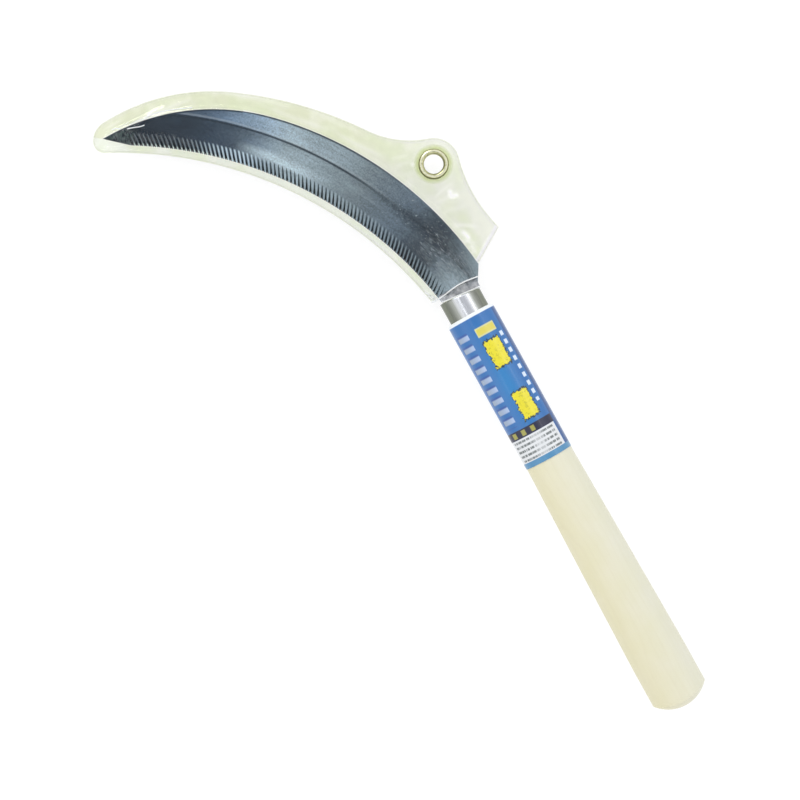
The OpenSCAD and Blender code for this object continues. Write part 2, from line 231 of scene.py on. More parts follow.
def waves(points, seed, count, shortest, longest):
    """A sum of a few shallow waves, about 1 high at most."""
    dice = np.random.default_rng(seed)
    total = np.zeros(len(points))
    for _ in range(count):
        length = dice.uniform(shortest, longest)
        heading = toward(dice.uniform(0, 360))
        total += np.sin(points @ heading * 2 * math.pi / length + dice.uniform(0, 6.28))
    return total / math.sqrt(count)


FRONT_CREASES = [
    # start, end, width, height, bend: the film's folds at the tip
    ((50.5, 9.5), (46.0, 19.5), 0.7, 0.45, 0.6),
    ((51.5, 5.0), (48.5, 12.5), 0.5, 0.4, -0.5),
    ((53.0, 3.0), (50.0, 9.0), 0.5, 0.35, 0.3),
    ((54.5, 6.5), (51.5, 12.0), 0.6, 0.3, 0.4),
    ((49.0, 14.0), (43.0, 25.0), 0.8, 0.3, -0.8),
    # along the sheath's back
    ((43.0, 28.0), (33.0, 33.5), 1.3, 0.28, 1.0),
    ((36.0, 29.0), (24.0, 31.0), 1.1, 0.25, -0.8),
    ((30.0, 34.0), (21.0, 35.0), 1.2, 0.2, 0.6),
    # in the hanging tab
    ((18.0, 31.0), (16.2, 39.0), 1.0, 0.2, 0.4),
    ((15.8, 28.5), (14.6, 35.0), 1.1, 0.16, -0.3),
    ((10.8, 29.0), (10.3, 43.0), 0.8, 0.2, 0.8),
    ((9.2, 28.5), (7.5, 38.0), 1.1, 0.2, -0.6),
    ((7.0, 27.5), (4.4, 36.0), 0.9, 0.18, 0.5),
    ((5.3, 22.5), (3.2, 30.5), 0.8, 0.35, 0.4),
    ((10.4, 38.2), (9.2, 35.4), 0.9, 0.55, 0.2),
    ((9.5, 35.6), (8.9, 39.4), 0.9, 0.5, 0.3),
    ((15.6, 35.6), (15.1, 36.8), 0.8, 0.6, 0.0),
    ((6.0, 28.4), (4.0, 28.2), 1.1, 0.45, 0.4),
    ((3.9, 27.6), (2.4, 25.6), 1.3, 0.5, 0.2),
    ((3.2, 38.5), (2.2, 26.5), 0.5, 0.5, 0.0),
    # over the blade near the mouth
    ((2.4, 1.0), (2.6, 9.0), 0.6, 0.35, 0.3),
    ((3.6, 14.0), (3.4, 24.0), 0.7, 0.3, -0.5),
    ((2.2, -1.8), (3.6, -3.2), 0.4, 0.5, 0.2),
]
BACK_CREASES = [
    ((52.0, 8.0), (46.0, 18.0), 0.8, 0.35, -0.5),
    ((40.0, 29.0), (30.0, 32.5), 1.2, 0.25, 0.8),
    ((26.0, 30.0), (18.0, 32.0), 1.1, 0.3, -0.6),
    ((17.0, 30.0), (15.5, 38.0), 1.0, 0.18, 0.4),
    ((10.5, 28.0), (9.5, 41.0), 0.9, 0.2, -0.8),
    ((10.4, 38.2), (9.2, 35.4), 0.9, 0.55, 0.2),
    ((9.5, 35.6), (8.9, 39.4), 0.9, 0.5, 0.3),
    ((6.0, 28.4), (4.0, 28.2), 1.1, 0.45, 0.4),
    ((7.0, 27.0), (4.8, 35.0), 0.9, 0.2, 0.4),
    ((28.0, 6.0), (20.0, 16.0), 1.6, 0.15, 1.0),
    ((3.0, 12.0), (3.2, 22.0), 0.8, 0.25, 0.4),
]
# the creases of each film, and the seed of its slack
FOLDS = {UPPER: (FRONT_CREASES, 5), LOWER: (BACK_CREASES, 23)}


def film_height(points, rim_distance, side):
    """Height of a film's outer face above the plane of the weld."""
    creases, seed = FOLDS[side]
    depth = pocket_depth(points)
    lifted = smooth_step(depth / (RAMP * 1.15))
    loose = smooth_step((rim_distance - 1.4) / 3.5)
    slack = 0.12 * waves(points, seed, 7, 14, 40) + 0.05 * waves(points, seed + 1, 6, 5, 11)
    folds = sum(crease(points, *c) for c in creases)
    weld_line = -0.10 * np.exp(-(((rim_distance - 1.5) / 0.35) ** 2))
    near_eye = smooth_step((np.hypot(*(points - eye).T) - 6.2) / 3)
    over_blade = 0.25 * smooth_step((depth - 2) / 8)
    rise = (slack + SETTLED) * loose * (1 - 0.45 * lifted) + folds * smooth_step(rim_distance / 2)
    return FILM_T - SETTLED + POCKET_H * lifted + over_blade + weld_line + rise * near_eye


def add_object(name, data):
    obj = bpy.data.objects.new(name, data)
    bpy.context.scene.collection.objects.link(obj)
    return obj


def add_film(name, mesh, thickness, finish):
    """A sheet as a thin closed shell, shaded smooth."""
    mesh.materials.append(finish)
    mesh.polygons.foreach_set("use_smooth", [True] * len(mesh.polygons))
    obj = add_object(name, mesh)
    wall = obj.modifiers.new("film thickness", "SOLIDIFY")
    wall.thickness, wall.offset = thickness * MM, -1
    return obj


def film_plan():
    """Points and faces of a film laid flat, and each point's distance from the cut edge."""
    rim = film_outline(RIM_STEP)
    hole = np.array([eye + EYE_HOLE_R * toward(a) for a in range(0, 360, 8)])
    low, high = rim.min(0), rim.max(0)
    rows = np.arange(low[1], high[1], CELL * 0.866)
    cells = np.array([(x + (i % 2) * CELL / 2, y) for i, y in enumerate(rows)
                      for x in np.arange(low[0], high[0], CELL)])
    cells = cells[inside(cells, rim)]
    cells = cells[distance_to_loop(cells, rim) > CELL * 0.6]
    cells = cells[np.hypot(*(cells - eye).T) > EYE_HOLE_R + CELL * 0.5]
    plan = np.vstack([rim, hole, cells])
    n, m = len(rim), len(hole)
    edges = [(i, (i + 1) % n) for i in range(n)] + [(n + i, n + (i + 1) % m) for i in range(m)]
    found = delaunay_2d_cdt([Vector(p) for p in plan], edges, [list(range(n))], 1, 1e-6)
    points = np.array([tuple(v) for v in found[0]])
    faces = [f for f in found[2] if np.hypot(*(points[list(f)].mean(0) - eye)) > EYE_HOLE_R]
    return points, faces, distance_to_loop(points, rim)


def film_shell(name, side, finish):
    """One film of the sheath as a thin closed shell."""
    points, faces, rim_distance = film_plan()
    hem_distance = distance_to_segments(points, tab_corner[None], shoulder[None])
    marks = {
        "weld": np.exp(-(((rim_distance - 0.9) / 0.55) ** 2)),
        "rim": 1 - smooth_step(rim_distance / 0.9),
        # where the creases lie, which the film's shader whitens as a painted highlight
        "fold": np.clip(sum(np.abs(crease(points, *c)) for c in FOLDS[side][0]) / 0.4, 0, 1),
        "hem": smooth_step((HEM_W + 0.4 - hem_distance) / 0.8),
    }
    z = film_height(points, rim_distance, side)
    co = np.column_stack([points * MM, (LIFT + side * z) * MM])
    mesh = bpy.data.meshes.new(name)
    turned = [tuple(f) if side > 0 else tuple(reversed(f)) for f in faces]
    mesh.from_pydata([tuple(p) for p in co], [], turned)
    for label, values in marks.items():
        mesh.attributes.new(label, "FLOAT", "POINT").data.foreach_set("value", values)
    bm = bmesh.new()
    bm.from_mesh(mesh)
    bmesh.ops.delete(bm, geom=[v for v in bm.verts if not v.link_faces], context="VERTS")
    for edge in bm.edges:
        edge.smooth = not edge.is_boundary
    bm.to_mesh(mesh)
    bm.free()
    return add_film(name, mesh, SHELL_T, finish)


# Shader nodes


class Signal:
    """One value in a shader's web. Sums and products of it add math nodes."""

    def __init__(self, web, socket):
        self.web, self.socket = web, socket

    def __add__(self, other):
        return self.web.math("ADD", self, other)

    def __radd__(self, other):
        return self.web.math("ADD", other, self)

    def __sub__(self, other):
        return self.web.math("SUBTRACT", self, other)

    def __rsub__(self, other):
        return self.web.math("SUBTRACT", other, self)

    def __mul__(self, other):
        return self.web.math("MULTIPLY", self, other)

    def __truediv__(self, other):
        return self.web.math("DIVIDE", self, other)

    def clamped(self):
        """Holds this sum or product between 0 and 1."""
        self.socket.node.use_clamp = True
        return self

    def within(self, low, high, soft=0.15):
        """1 between two limits, with a soft border round each."""
        return self.web.group(WINDOW, Value=self, Low=low, High=high, Soft=soft)["Mask"]

    def stripes(self, pitch, low, high, soft=0.10):
        """1 between two shares of every pitch."""
        return self.web.math("FRACT", self / pitch).within(low, high, soft)

    def fade(self, low, high):
        """0 up to a first limit, 1 from a second on."""
        return self.web.ramp(self, [(low, (0, 0, 0)), (high, (1, 1, 1))])


class Web:
    """Adds nodes to a shader tree and wires them."""

    def __init__(self, tree):
        self.tree = tree

    def add(self, kind, *sources, **settings):
        made = self.tree.nodes.new("ShaderNode" + kind)
        for key, value in settings.items():
            setattr(made, key, value)
        for socket, source in zip(made.inputs, sources):
            if source is not None:
                self.feed(socket, source)
        return made

    def value(self, kind, *sources, output=0, **settings):
        """One output of a new node."""
        return Signal(self, self.add(kind, *sources, **settings).outputs[output])

    def feed(self, socket, source):
        if isinstance(source, Signal):
            self.tree.links.new(source.socket, socket)
        else:
            socket.default_value = source

    def outlets(self, node):
        return {socket.name: Signal(self, socket) for socket in node.outputs}

    def math(self, operation, *sources):
        return self.value("Math", *sources, operation=operation)

    def split(self, vector):
        return [Signal(self, socket) for socket in self.add("SeparateXYZ", vector).outputs]

    def join(self, x, y, z):
        return self.value("CombineXYZ", x, y, z)

    def stretch(self, vector, factors):
        return self.value("VectorMath", vector, factors, operation="MULTIPLY")

    def blend(self, share, a, b, mode="MIX"):
        made = self.add("Mix", data_type="RGBA", blend_type=mode)
        for name, source in (("Factor_Float", share), ("A_Color", a), ("B_Color", b)):
            if isinstance(source, tuple):
                source = (*source, 1)
            self.feed(next(s for s in made.inputs if s.identifier == name), source)
        return Signal(self, next(s for s in made.outputs if s.identifier == "Result_Color"))

    def tinted(self, colour, tint):
        return self.blend(1.0, colour, tint, "MULTIPLY")

    def shaded(self, colour, shade):
        """A colour times a grey whose lightness may pass 1."""
        return self.tinted(colour, self.join(shade, shade, shade))

    def ramp(self, value, stops, smooth="LINEAR"):
        """Colours between stops that are given in order."""
        made = self.add("ValToRGB", value)
        made.color_ramp.interpolation = smooth
        elements = made.color_ramp.elements
        # a new ramp has two elements, which take the first stop and the last
        for i, (at, colour) in enumerate([stops[0], stops[-1], *stops[1:-1]]):
            element = elements[i] if i < 2 else elements.new(at)
            element.position = at
            element.color = (*colour, 1)
        return Signal(self, made.outputs[0])

    def noise(self, vector, scale, detail=3.0, roughness=0.5):
        made = self.add("TexNoise", vector)
        made.inputs["Scale"].default_value = scale
        made.inputs["Detail"].default_value = detail
        made.inputs["Roughness"].default_value = roughness
        return Signal(self, made.outputs["Fac"])

    def group(self, tree, **sources):
        made = self.add("Group", node_tree=tree)
        for name, source in sources.items():
            self.feed(made.inputs[name.replace("_", " ")], source)
        return self.outlets(made)


def shader_group(name, inputs, outputs):
    """An empty group with sockets, its web, its inlets and the sockets of its outlet."""
    tree = bpy.data.node_groups.new(name, "ShaderNodeTree")
    for label, value in inputs.items():
        kind = "NodeSocketVector" if value is None else "NodeSocketFloat"
        socket = tree.interface.new_socket(label, in_out="INPUT", socket_type=kind)
        if value is not None:
            socket.default_value = value
    for label in outputs:
        tree.interface.new_socket(label, in_out="OUTPUT", socket_type="NodeSocketFloat")
    web = Web(tree)
    given = web.outlets(tree.nodes.new("NodeGroupInput"))
    return tree, web, given, tree.nodes.new("NodeGroupOutput").inputs


def polar_place_group():
    """Distance from a centre and bearing about it, in millimetres and degrees."""
    tree, web, given, result = shader_group(
        "polar place", {"Place": None, "Centre X": 0.0, "Centre Y": 0.0}, ["Radius", "Bearing"])
    x, y, _ = web.split(given["Place"])
    x = x - given["Centre X"]
    y = y - given["Centre Y"]
    web.feed(result["Radius"], web.math("SQRT", x * x + y * y))
    web.feed(result["Bearing"], web.math("DEGREES", web.math("ARCTAN2", y, x)))
    return tree


def window_group():
    """1 between Low and High, falling to 0 over Soft on each side."""
    tree, web, given, result = shader_group(
        "window", {"Value": 0.0, "Low": 0.0, "High": 1.0, "Soft": 0.1}, ["Mask"])
    up = ((given["Value"] - given["Low"]) / given["Soft"] + 0.5).clamped()
    down = ((given["High"] - given["Value"]) / given["Soft"] + 0.5).clamped()
    web.feed(result["Mask"], up * down)
    return tree


def streak_group():
    """Fine streaks that run along one coordinate and change across the other."""
    tree, web, given, result = shader_group(
        "streaks", {"Across": 0.0, "Along": 0.0, "Fineness": 4.0, "Stretch": 0.05},
        ["Streak", "Fine streak"])
    across = given["Across"] * given["Fineness"]
    along = given["Along"] * given["Stretch"]
    web.feed(result["Streak"], web.noise(web.join(across * 0.25, along, 0.0), 1.0, 4, 0.6))
    web.feed(result["Fine streak"], web.noise(web.join(across, along * 3.0, 7.0), 1.0, 2, 0.6))
    return tree


POLAR, WINDOW, STREAKS = polar_place_group(), window_group(), streak_group()
# farther than any place on the tool
FAR = 400.0


def blade_plan_group():
    """Where a place lies on the blade: degrees from the ferrule, millimetres from its lines."""
    tree, web, given, result = shader_group(
        "blade plan", {"Place": None}, ["Angle", "Past edge", "Inside back", "Inside grind"])

    def about(centre):
        return web.group(POLAR, Place=given["Place"], Centre_X=centre[0], Centre_Y=centre[1])

    edge = about(edge_c)
    past_edge = edge["Radius"] - EDGE_R
    back = BACK_R - about(back_c)["Radius"]
    turned = tip_r - about(tip_c)["Radius"]
    x, y, _ = web.split(given["Place"])
    side = toward(flat_a + 90)
    past_flat = float(tip @ side) - (x * side[0] + y * side[1])
    # the tip's flat and the tip's arc count only near the tip
    angle = edge["Bearing"] - HEEL_A
    past_flat = past_flat + web.math("LESS_THAN", angle, EDGE_A - 6) * 1000.0
    turned = turned + web.math("LESS_THAN", angle, BACK_A) * 1000.0
    web.feed(result["Angle"], angle)
    web.feed(result["Past edge"], web.math("MINIMUM", past_edge, past_flat))
    web.feed(result["Inside back"], web.math("MINIMUM", back, turned))
    web.feed(result["Inside grind"], GRIND_R - about(grind_c)["Radius"])
    return tree


PLAN = blade_plan_group()


def new_material(name, **values):
    """A material with one Principled BSDF, its web, the shader and the place in millimetres."""
    made = bpy.data.materials.new(name)
    made.use_nodes = True
    made.node_tree.nodes.clear()
    web = Web(made.node_tree)
    shader = web.add("BsdfPrincipled")
    output = web.add("OutputMaterial", Signal(web, shader.outputs[0]))
    output.is_active_output = True
    for key, value in values.items():
        shader.inputs[key.replace("_", " ")].default_value = value
    position = web.value("TexCoord", output="Object")
    place = web.value("VectorMath", position, None, None, 1 / MM, operation="SCALE")
    return made, web, shader.inputs, place


def finish_material(web, sockets, colour, roughness, height, strength, distance):
    """Feeds a material's colour, its roughness and a shallow bump."""
    web.feed(sockets["Base Color"], colour)
    web.feed(sockets["Roughness"], roughness)
    bump = web.add("Bump")
    bump.inputs["Strength"].default_value = strength
    bump.inputs["Distance"].default_value = distance * MM
    web.feed(bump.inputs["Height"], height)
    web.feed(sockets["Normal"], Signal(web, bump.outputs[0]))


def by_angle(web, angle, stops, tint):
    """A painted reflection tone that changes along the blade, from (degrees from the ferrule,
    tone) pairs.
    """
    last = stops[-1][0]
    grey = web.ramp(angle / last, [(a / last, (v, v, v)) for a, v in stops], "CARDINAL")
    return web.tinted(grey, tint)


def steel_tones(web, plan):
    """The flat's and the ground band's painted reflection tones along the blade, parted at the
    grind's border.
    """
    angle, in_grind = plan["Angle"], plan["Inside grind"]
    # a bluer tint where the painted reflection is darker
    dark = ((angle - 30.0) * 0.1).clamped()
    dark = web.math("MAXIMUM", dark, angle.within(6.0, 16.0, 6.0) * 0.35)
    tint = web.blend(dark, (0.80, 1.0, 1.12), (0.68, 1.02, 1.50))
    flat = by_angle(web, angle, [(0, 0.38), (5, 0.16), (8, 0.085), (11, 0.18), (14, 0.28),
                                 (17, 0.345), (20, 0.37), (28, 0.63), (33, 0.55), (39, 0.22),
                                 (46, 0.10), (60, 0.04)], tint)
    ground = by_angle(web, angle, [(0, 0.62), (5, 0.215), (8, 0.105), (11, 0.19), (14, 0.25),
                                   (17, 0.28), (23, 0.38), (29, 0.52), (35, 0.19), (40, 0.075),
                                   (48, 0.034), (60, 0.013)], tint)
    # the border is crisp towards the tip and worn soft towards the heel
    crispness = ((angle - 10.0) * 0.12).clamped()
    share = in_grind.within(0.1, FAR, 0.25) * crispness
    share = share + in_grind.within(0.8, FAR, 5.0) * (1.0 - crispness)
    return web.blend(share * angle.within(0.2, 80.0, 1.0), flat, ground)


def steel_wear(web, plan, place, body, shade, along):
    """Mottled shade, a painted sheen, painted light and shadow, stains, scratches and dots over
    the steel's tones.
    """
    angle, off, in_grind = plan["Angle"], plan["Past edge"], plan["Inside grind"]
    # a painted sheen beside the teeth in the middle of the blade
    sheen = off.within(5.2, 9.2, 2.4) * angle.within(24.5, 34.4, 4.6)
    body = web.blend(sheen * 0.68, body, (0.72, 0.88, 0.96))
    # painted light: the flat of the heel turns lighter towards its back; a painted shadow lies
    # over the worn soft border of the grind
    painted_light_outward = (off - 20.0) * angle.within(-5.0, 11.0, 8.0) * off.within(16.5, 40.0, 1.0)
    shadow = in_grind.within(-3.0, 2.5, 3.0) * angle.within(10.0, 16.5, 4.0)
    body = web.shaded(body, shade + painted_light_outward * 0.12 - shadow * 0.26)
    stain = web.noise(place, 0.35, 4, 0.65).fade(0.46, 0.68) * angle.within(4.0, 13.0, 5.0)
    body = web.blend(stain * 0.5, body, (0.045, 0.06, 0.09))
    streaks = web.group(STREAKS, Across=off, Along=along, Fineness=6.0, Stretch=0.10)
    scratches = streaks["Fine streak"].fade(0.53, 0.66) * (angle.within(0.5, 8.5, 3.0)
                                                           * off.within(7.0, 21.0, 4.0))
    body = web.blend(scratches * 0.6, body, (0.72, 0.80, 0.86))
    dots = web.noise(place, 1.0, 1, 0.4).fade(0.70, 0.76) * (angle.within(2.0, 15.0, 3.0)
                                                             * off.within(9.0, 40.0, 4.0))
    return web.blend(dots * 0.6, body, (0.70, 0.80, 0.85))


def steel_lines(web, plan, body):
    """A painted shade line where the grind begins, a painted highlight on its far side and painted
    shade along the back's arris.
    """
    angle, in_grind = plan["Angle"], plan["Inside grind"]
    crisp = angle.within(17.0, 80.0, 9.0) * plan["Past edge"].within(6.0, 40.0, 3.0)
    # painted shade along the step where the grind begins
    line = in_grind.within(-0.45, 0.5, 0.4) * crisp
    body = web.blend(line * 0.88, body, (0.02, 0.035, 0.05))
    # a painted highlight just beyond it
    glint = in_grind.within(-1.5, -0.7, 0.5) * crisp
    body = web.blend(glint * 0.16, body, (0.9, 0.97, 1.0))
    # painted shade along the back's arris
    arris = plan["Inside back"].within(-1.0, 0.8, 0.5) * angle.within(16.0, 60.0, 10.0)
    return web.blend(arris * 0.85, body, (0.03, 0.045, 0.06))


def tooth_marks(web, plan, body):
    """Painted shade in the grooves and painted light on the lands of the teeth. Also gives the
    grooves' mask.
    """
    angle, off = plan["Angle"], plan["Past edge"]
    per_mm = 180 / math.pi / EDGE_R
    lean = off * (math.tan(math.radians(TOOTH_LEAN)) * per_mm)
    count = (EDGE_A - angle + lean) / (TOOTH_PITCH * per_mm)
    phase = web.math("ABSOLUTE", web.math("FRACT", count) - 0.5)
    middle, late = angle.within(21.0, 33.5, 4.0), angle.within(33.2, 40.5, 3.0)
    reach = TOOTH_L * math.cos(math.radians(TOOTH_LEAN))
    toothed = off.within(-3.0, reach, 0.8) * angle.within(1.0, EDGE_A, 0.3)
    width = 0.27 + middle * 0.06 - late * 0.06 - off * 0.036
    # painted shade in the grooves
    slot = ((width - phase) * 9.0).clamped() * toothed
    body = web.blend(slot * 0.95, body, (0.010, 0.026, 0.032))
    # painted light on the lands between the grooves
    crest = 0.32 + middle * 0.05 - late * 0.08
    land = ((phase - crest) * 9.0).clamped() * toothed
    painted_land_light = by_angle(web, angle, [(0, 0.42), (11, 0.53), (22, 0.62), (30, 0.66), (36.5, 1.0),
                                      (43, 0.34), (60, 0.19)], (0.82, 1.02, 1.16))
    body = web.blend(land * 0.7, body, painted_land_light)
    # a painted highlight on the points at the very edge near the tip
    point = land * off.within(-3.0, 1.1, 0.8) * angle.within(38.0, 60.0, 6.0)
    return web.blend(point, body, (0.80, 0.92, 0.90)), slot


def blade_steel():
    made, web, sockets, place = new_material("ground blade steel", Metallic=1.0)
    plan = web.group(PLAN, Place=place)
    angle, off = plan["Angle"], plan["Past edge"]
    along = angle * (EDGE_R * math.pi / 180)
    streaks = web.group(STREAKS, Across=off, Along=along, Fineness=3.0, Stretch=0.06)
    cloud = web.noise(web.join(along * 0.05, off * 0.22, 3.0), 1.0, 3, 0.6)
    grain = web.noise(place, 1.3, 3, 0.75)
    shade = streaks["Streak"] * 0.45 + streaks["Fine streak"] * 0.4
    shade = shade + cloud * 0.9 + grain.fade(0.38, 0.64) * 0.46 - 0.11

    body = steel_wear(web, plan, place, steel_tones(web, plan), shade, along)
    body, slot = tooth_marks(web, plan, steel_lines(web, plan, body))
    # the bare tip is mottled
    mottle = web.noise(place, 0.7, 3, 0.6).fade(0.44, 0.62) * angle.within(50.3, 80.0, 1.5)
    body = web.blend(mottle * 0.7, body, (0.115, 0.165, 0.150))
    finish_material(web, sockets, body, 0.22 + streaks["Streak"] * 0.2 + slot * 0.3,
                    streaks["Fine streak"] + grain * 0.6, 0.25, 0.03)
    return made


def about_handle(web, place):
    """X, the distance across from the handle's axis, and the bearing about it from the top."""
    x, y, z = web.split(place)
    across = y - AXIS_Y
    return x, across, web.math("DEGREES", web.math("ARCTAN2", across, z - LIFT))


def ferrule_steel():
    made, web, sockets, place = new_material("drawn stainless sheet", Metallic=1.0)
    x, _, turn = about_handle(web, place)
    streaks = web.group(STREAKS, Across=turn, Along=x, Fineness=0.35, Stretch=0.08)
    # painted reflection: light along the top, dark down the sides
    tone = web.ramp(web.math("ABSOLUTE", turn) / 90.0, [
        (0.0, (0.88, 0.90, 0.95)), (0.25, (0.76, 0.78, 0.80)), (0.39, (0.34, 0.355, 0.33)),
        (0.72, (0.20, 0.215, 0.175)), (1.0, (0.17, 0.185, 0.145))])
    base = web.shaded(tone, streaks["Fine streak"] * 0.35 + 0.82)
    finish_material(web, sockets, base, 0.13 + streaks["Streak"] * 0.16,
                    streaks["Fine streak"], 0.15, 0.02)
    return made


def handle_wood():
    made, web, sockets, place = new_material("pale sanded wood", IOR=1.45, Coat_Weight=0.25,
                                             Coat_Roughness=0.25)
    x, y, z = web.split(place)
    across = y - AXIS_Y
    # growth rings cut lengthwise: distance from a far, wavering centre line
    waver = web.noise(web.stretch(place, (0.012, 0.05, 0.05)), 1.0, 2)
    ring_y = across + 46.0 + waver * 16.0
    ring_z = z + 8.0
    rings = web.math("SQRT", ring_y * ring_y + ring_z * ring_z)
    late = web.ramp(web.math("FRACT", rings / 3.4), [
        (0.0, (0.15, 0.15, 0.15)), (0.62, (0.1, 0.1, 0.1)), (0.93, (1, 1, 1)), (1.0, (0, 0, 0))])
    fibre = web.noise(web.join(x * 0.05, across * 2.2, z * 2.2), 1.0, 4, 0.65)
    pores = web.noise(web.join(x * 0.35, across * 4.5, z * 4.5), 1.0, 2, 0.5)
    base = web.blend(web.noise(place, 0.07, 3, 0.5), (0.675, 0.66, 0.455), (0.72, 0.70, 0.575))
    # painted light: cooler on the -Y side, warmer and a little darker on the +Y side
    painted_side_light = (across * 0.055 + 0.5).clamped()
    base = web.tinted(base, web.blend(painted_side_light, (0.985, 1.0, 1.06), (1.01, 0.985, 0.90)))
    base = web.blend(late * 0.08, base, (0.58, 0.52, 0.34))
    base = web.blend(fibre.fade(0.42, 0.72) * 0.14, base, (0.62, 0.58, 0.43))
    # bare white ground between the ferrule and the printed sleeve
    front = x.within(MOUTH_X - 10.6, MOUTH_X - 7.0, 0.2)
    base = web.blend(front * 0.8, base, (0.84, 0.88, 0.92))
    base = web.blend(pores.fade(0.66, 0.74) * 0.20, base, (0.56, 0.50, 0.34))
    finish_material(web, sockets, base, 0.42 + fibre * 0.2, fibre * 0.6 + late * -0.3, 0.25, 0.06)
    return made


def pin_steel():
    made, web, sockets, place = new_material("pin steel", Metallic=1.0)
    spots = web.noise(place, 1.2, 3, 0.6)
    web.feed(sockets["Base Color"],
             web.ramp(spots, [(0.3, (0.30, 0.30, 0.31)), (0.7, (0.50, 0.50, 0.52))]))
    web.feed(sockets["Roughness"], 0.3 + spots * 0.3)
    return made


# places on the label: millimetres from the ferrule's mouth, degrees from the top
BORDER_END, PRINT_END = 10.75, 81.5
BARS, BAR_PITCH = (14.8, 64.4), 5.35
PANELS, PANEL_TURN = ((23.8, 36.8), (50.4, 63.2)), (-35.5, 8.5)
DASH_PITCH, BLOCK_PITCH = 4.3, 28.0
BAND, RULES_START, RULE_PITCH = (66.2, 70.2), 70.4, 2.25


class Label:
    """Where a place lies on the printed sleeve, and masks for what is printed there."""

    def __init__(self, web, place):
        x, _, self.turn = about_handle(web, place)
        self.place, self.down = place, MOUTH_X - x

    def patch(self, low_down, high_down, low_turn, high_turn, soft=0.2):
        """A field between two distances from the ferrule and two bearings."""
        return (self.down.within(low_down, high_down, soft)
                * self.turn.within(low_turn, high_turn, soft * 5))


def label_ground(web, label, cloud):
    """The blue field, its white border at the ferrule and its dark side."""
    # lighter towards the middle of the top
    lighter_top_middle = label.turn.within(-24, 26, 40) * label.down.within(24, 62, 26)
    look = web.blend((lighter_top_middle * (cloud + 0.45)).clamped(), (0.025, 0.145, 0.41), (0.028, 0.20, 0.48))
    look = web.blend(label.patch(0.0, BORDER_END, -180, 190, 0.3), look, (0.80, 0.85, 0.90))
    return web.blend(label.patch(11.0, PRINT_END, -100, -62, 0.3), look, (0.012, 0.075, 0.25))


def label_bars(web, label, look):
    """A column of plain pale bars with a shadow, down the side towards the teeth."""
    shadow = (label.down + 1.0).stripes(BAR_PITCH, 0.18, 0.72) * label.patch(*BARS, 37, 72, 0.3)
    look = web.blend(shadow * 0.6, look, (0.03, 0.06, 0.28))
    bars = label.down.stripes(BAR_PITCH, 0.18, 0.62) * label.patch(*BARS, 36, 70, 0.3)
    # painted shade: the bars darken as the side turns down
    shaded_bar_tone = web.ramp(label.turn / 90.0, [(0.40, (0.38, 0.49, 0.72)), (0.78, (0.28, 0.35, 0.44))])
    return web.blend(bars, look, shaded_bar_tone)


def label_panels(web, label, look):
    """A small plain panel, two ragged yellow ones outlined in black, and a row of pale dashes."""
    look = web.blend(label.patch(16.3, 20.7, -44, 13, 0.3), look, (0.62, 0.62, 0.30))
    look = web.blend(label.patch(17.0, 20.0, -42, 11, 0.3), look, (0.66, 0.58, 0.10))
    ragged = (web.noise(label.place, 0.9, 2, 0.6) - 0.5) * 3.6
    rough_down, rough_turn = label.down + ragged, label.turn + ragged * 6.0
    mottle = web.noise(label.place, 0.75, 3, 0.65).fade(0.54, 0.62)
    for start, end in PANELS:
        for grow, colour in ((0.75, (0.012, 0.035, 0.06)), (0.0, (0.74, 0.66, 0.025))):
            panel = (rough_down.within(start - grow, end + grow, 0.3)
                     * rough_turn.within(PANEL_TURN[0] - 4 * grow, PANEL_TURN[1] + 4 * grow, 1.2))
            look = web.blend(panel, look, colour)
        worn = mottle * label.patch(start + 1, end - 1, -30, 4)
        look = web.blend(worn * 0.5, look, (0.38, 0.36, 0.02))
    dashes = label.down.stripes(DASH_PITCH, 0.2, 0.72) * label.patch(21.5, 58.5, -56.5, -46.0)
    return web.blend(dashes * 0.85, look, (0.75, 0.85, 0.95))


def label_end(web, label, look):
    """A dark band with small plain blocks, a white panel with broken rules, and a blue end."""
    down, turn = label.down, label.turn
    look = web.blend(label.patch(*BAND, -62, 190), look, (0.012, 0.014, 0.045))
    blocks = (turn + 6.0).stripes(BLOCK_PITCH, 0.1, 0.52, 0.08) * label.patch(66.9, 69.5, -6, 70)
    look = web.blend(blocks * 0.8, look, (0.42, 0.40, 0.08))
    look = web.blend(label.patch(BAND[1], PRINT_END, -60, 190), look, (0.70, 0.72, 0.74))
    rules = (down - RULES_START).stripes(RULE_PITCH, 0.25, 0.74, 0.14)
    row = web.math("FLOOR", (down - RULES_START) / RULE_PITCH)
    gaps = web.noise(web.join(row * 3.7, turn * 0.24, 0.0), 1.0, 2, 0.7).fade(0.37, 0.52)
    thin = 0.9 - turn.within(-12, 20, 14) * 0.5
    look = web.blend(rules * label.patch(71.0, 81.0, -52, 75) * gaps * thin, look,
                     (0.07, 0.09, 0.09))
    look = web.blend(label.patch(PRINT_END, 90.0, -190, 190), look, (0.075, 0.245, 0.44))
    # the overlap of the wrapped sleeve, underneath
    return web.blend(turn.within(176, 181, 1.0), look, (0.5, 0.55, 0.65))


def printed_sleeve():
    """The label: plain coloured fields, bars and panels."""
    made, web, sockets, place = new_material("printed sleeve", Coat_Weight=0.4,
                                             Coat_Roughness=0.08)
    label = Label(web, place)
    cloud = web.noise(place, 0.12, 3, 0.6)
    look = label_ground(web, label, cloud)
    for printed in (label_bars, label_panels, label_end):
        look = printed(web, label, look)
    ripple = web.noise(web.stretch(place, (0.10, 0.5, 0.5)), 1.0, 2)
    finish_material(web, sockets, look, 0.22 + cloud * 0.2, ripple, 0.25, 0.12)
    return made


